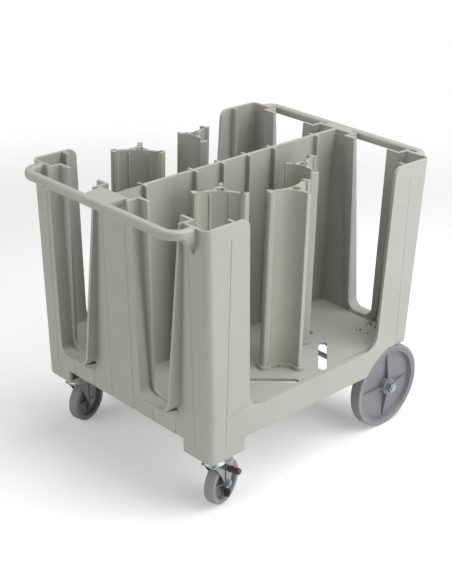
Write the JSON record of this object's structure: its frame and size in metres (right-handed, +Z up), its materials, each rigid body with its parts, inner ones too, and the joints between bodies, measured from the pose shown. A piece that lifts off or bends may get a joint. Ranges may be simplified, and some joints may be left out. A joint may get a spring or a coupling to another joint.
{
  "type": "plate dispenser cart",
  "caption": "Wheeled plate dispenser cart: moulded body with open windows, centre wall and sliding Y-shaped towers that hold stacks of plates; braked casters and big wheels.",
  "frame": {"origin": "on the floor, under the middle of the whole cart's outer box", "axes": "+X along the cart from the handle end to the big-wheel end, +Y across it, +Z up"},
  "size_m": [0.955, 0.672, 0.814],
  "materials": {
    "body_grey": "fine-grained moulded polyethylene, speckled warm grey",
    "tower_grey": "fine-grained moulded polyethylene",
    "wheel_grey": "moulded polypropylene, cool grey",
    "tyre_grey": "non-marking grey tread rubber",
    "zinc_plate": "bright zinc plating",
    "zinc_bright": "bright zinc plating",
    "bushing": "self-lubricating plastic bush",
    "pedal_dark": "dark brown moulded plastic",
    "shoe_rubber": "black rubber"
  },
  "bodies": {
    "cart": {"body_base": "body_grey", "skirt": "body_grey", "caster_boss_left": "body_grey", "caster_boss_right": "body_grey", "handle_end_wall": "body_grey", "wheel_end_wall": "body_grey", "centre_wall": "body_grey", "axle": "zinc_bright", "axle_bracket_left": "zinc_bright", "axle_bracket_right": "zinc_bright", "bracket_bolts": "zinc_plate", "axle_washers": "zinc_plate", "axle_nuts": "zinc_plate", "caster_plate_left": "zinc_plate", "caster_plate_right": "zinc_plate", "caster_bolts": "zinc_plate", "kingpin_left": "zinc_plate", "kingpin_right": "zinc_plate"},
    "tower_1_set": {"tower_1": "tower_grey", "tie_bolt_1": "zinc_plate", "clamp_plate_1": "zinc_plate", "clamp_nut_1": "zinc_plate"},
    "tower_2_set": {"tower_2": "tower_grey", "tie_bolt_2": "zinc_plate", "clamp_plate_2": "zinc_plate", "clamp_nut_2": "zinc_plate"},
    "tower_3_set": {"tower_3": "tower_grey", "tie_bolt_3": "zinc_plate", "clamp_plate_3": "zinc_plate", "clamp_nut_3": "zinc_plate"},
    "tower_4_set": {"tower_4": "tower_grey", "tie_bolt_4": "zinc_plate", "clamp_plate_4": "zinc_plate", "clamp_nut_4": "zinc_plate"},
    "tower_5_set": {"tower_5": "tower_grey", "tie_bolt_5": "zinc_plate", "clamp_plate_5": "zinc_plate", "clamp_nut_5": "zinc_plate"},
    "wheel_left": {"wheel_core_left": "wheel_grey", "wheel_tyre_left": "tyre_grey", "wheel_bush_left": "bushing"},
    "fork_left": {"caster_fork_left": "zinc_plate", "caster_axle_left": "zinc_plate"},
    "caster_left": {"caster_core_left": "wheel_grey", "caster_tyre_left": "tyre_grey"},
    "brake_left": {"brake_lever_left": "zinc_plate", "brake_pedal_left": "pedal_dark", "brake_shoe_left": "shoe_rubber"},
    "wheel_right": {"wheel_core_right": "wheel_grey", "wheel_tyre_right": "tyre_grey", "wheel_bush_right": "bushing"},
    "fork_right": {"caster_fork_right": "zinc_plate", "caster_axle_right": "zinc_plate"},
    "caster_right": {"caster_core_right": "wheel_grey", "caster_tyre_right": "tyre_grey"},
    "brake_right": {"brake_lever_right": "zinc_plate", "brake_pedal_right": "pedal_dark", "brake_shoe_right": "shoe_rubber"}
  },
  "joints": [
    {"name": "tower_1_slide", "type": "slide", "parent": "cart", "child": "tower_1_set", "axis": [-0.7415, -0.6709, 0], "range_m": [-0.025, 0.072]},
    {"name": "tower_2_slide", "type": "slide", "parent": "cart", "child": "tower_2_set", "axis": [0.7415, -0.6709, 0], "range_m": [-0.025, 0.072]},
    {"name": "tower_3_slide", "type": "slide", "parent": "cart", "child": "tower_3_set", "axis": [0.7071, 0.7071, 0], "range_m": [-0.04, 0.02]},
    {"name": "tower_4_slide", "type": "slide", "parent": "cart", "child": "tower_4_set", "axis": [-0.7071, 0.7071, 0], "range_m": [-0.04, 0.02]},
    {"name": "tower_5_slide", "type": "slide", "parent": "cart", "child": "tower_5_set", "axis": [0, 1, 0], "range_m": [-0.04, 0.02]},
    {"name": "wheel_left_spin", "type": "hinge", "parent": "cart", "child": "wheel_left", "pos_m": [0.3505, 0.294, 0.127], "axis": [0, 1, 0], "continuous": true},
    {"name": "caster_left_swivel", "type": "hinge", "parent": "cart", "child": "fork_left", "pos_m": [-0.31473, 0.285, 0.14], "axis": [0, 0, 1], "continuous": true},
    {"name": "caster_left_spin", "type": "hinge", "parent": "fork_left", "child": "caster_left", "pos_m": [-0.27931, 0.29383, 0.0635], "axis": [-0.2419, 0.9703, 0], "continuous": true},
    {"name": "brake_left_press", "type": "hinge", "parent": "fork_left", "child": "brake_left", "pos_m": [-0.27931, 0.29383, 0.0635], "axis": [-0.2419, 0.9703, 0], "range_deg": [0, 16]},
    {"name": "wheel_right_spin", "type": "hinge", "parent": "cart", "child": "wheel_right", "pos_m": [0.3505, -0.294, 0.127], "axis": [0, 1, 0], "continuous": true},
    {"name": "caster_right_swivel", "type": "hinge", "parent": "cart", "child": "fork_right", "pos_m": [-0.31473, -0.285, 0.14], "axis": [0, 0, 1], "continuous": true},
    {"name": "caster_right_spin", "type": "hinge", "parent": "fork_right", "child": "caster_right", "pos_m": [-0.27931, -0.27617, 0.0635], "axis": [-0.2419, 0.9703, 0], "continuous": true},
    {"name": "brake_right_press", "type": "hinge", "parent": "fork_right", "child": "brake_right", "pos_m": [-0.27931, -0.27617, 0.0635], "axis": [-0.2419, 0.9703, 0], "range_deg": [0, 16]}
  ]
}
